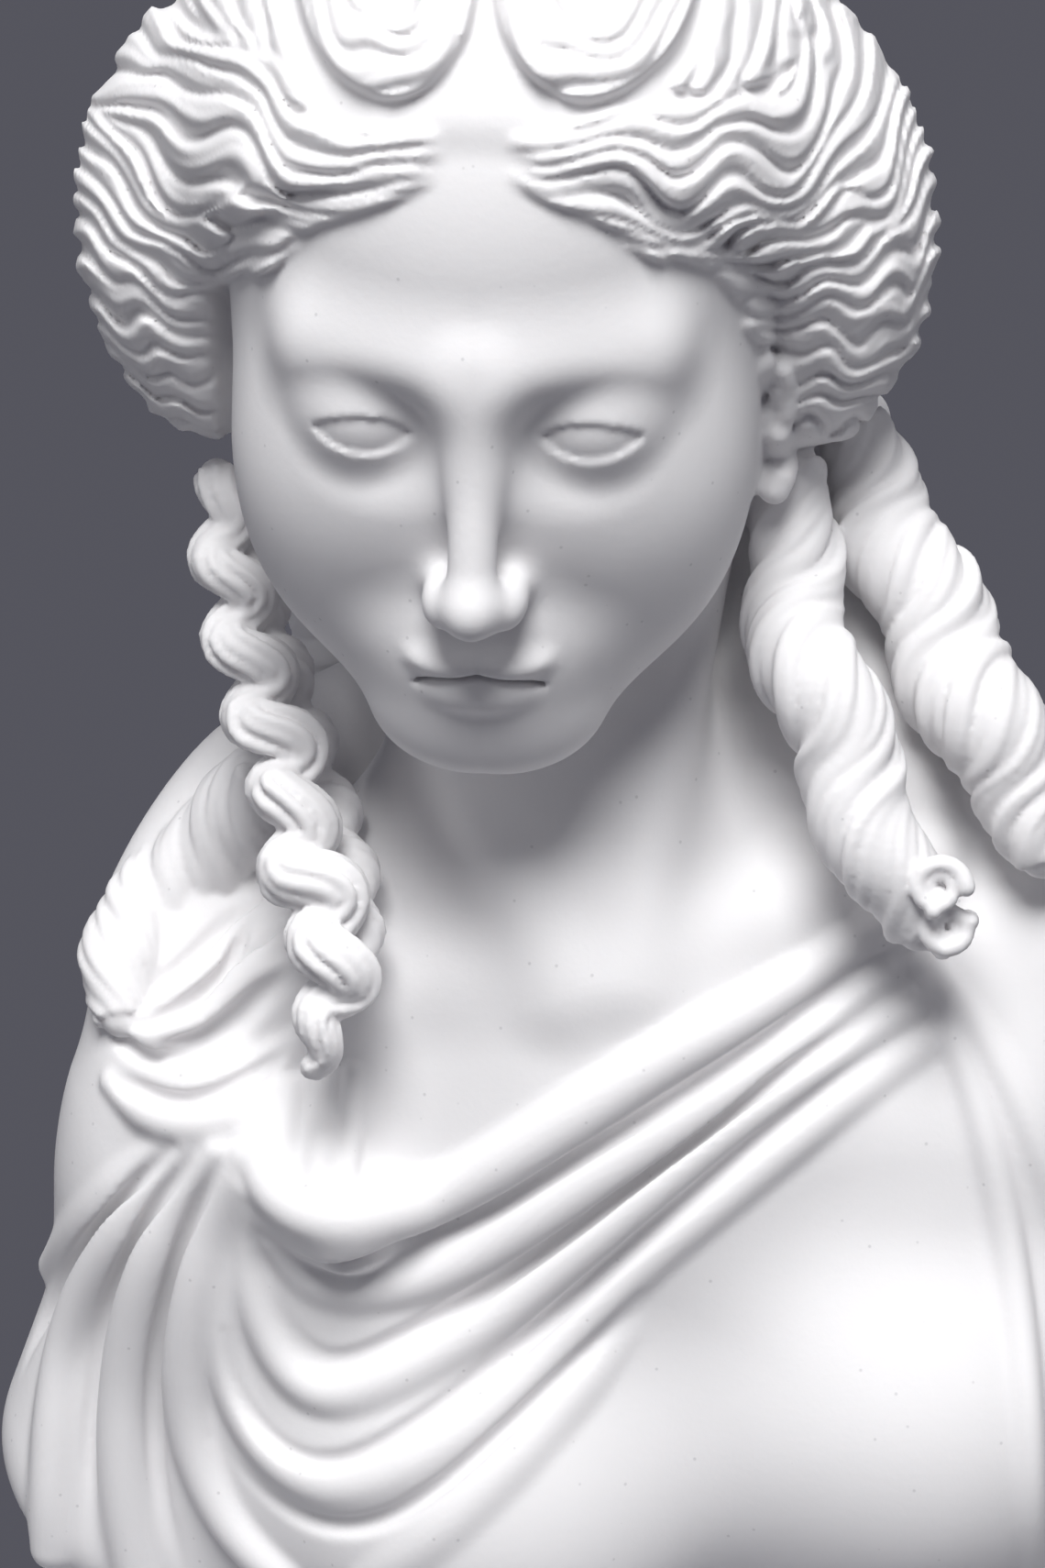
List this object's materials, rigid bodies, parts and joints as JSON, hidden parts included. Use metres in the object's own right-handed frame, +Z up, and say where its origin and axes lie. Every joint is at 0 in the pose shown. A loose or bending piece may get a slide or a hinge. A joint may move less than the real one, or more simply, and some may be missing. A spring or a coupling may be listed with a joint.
{
  "type": "marble bust",
  "caption": "Draped neoclassical marble bust with bowed head and long ringlets, on a turned marble socle it can be turned on.",
  "frame": {"origin": "centre of the felt pad's underside, on the axis of the central rod", "axes": "+Z up along the central rod, -Y the way the bust's chest faces, +X towards the bust's own left shoulder"},
  "size_m": [0.2065, 0.1358, 0.4198],
  "materials": {
    "bust_marble": "honed white statuary marble, satin",
    "socle_marble": "polished white marble, faint grey veins",
    "felt": "dark green pressed felt",
    "brass": "turned",
    "slip_plastic": "low-friction sheet, matt",
    "steel": "zinc plated"
  },
  "bodies": {
    "socle_assembly": {"socle": "socle_marble", "socle_bush": "brass", "felt_pad": "felt", "slip_washer": "slip_plastic"},
    "bust_assembly": {"bust": "bust_marble", "bust_insert": "brass", "threaded_rod": "steel", "load_washer": "steel", "spring_washer": "steel", "lock_nut": "steel"}
  },
  "joints": [
    {"name": "bust_turn", "type": "hinge", "parent": "socle_assembly", "child": "bust_assembly", "pos_m": [0, 0, 0.094], "axis": [0, 0, 1], "continuous": true}
  ]
}
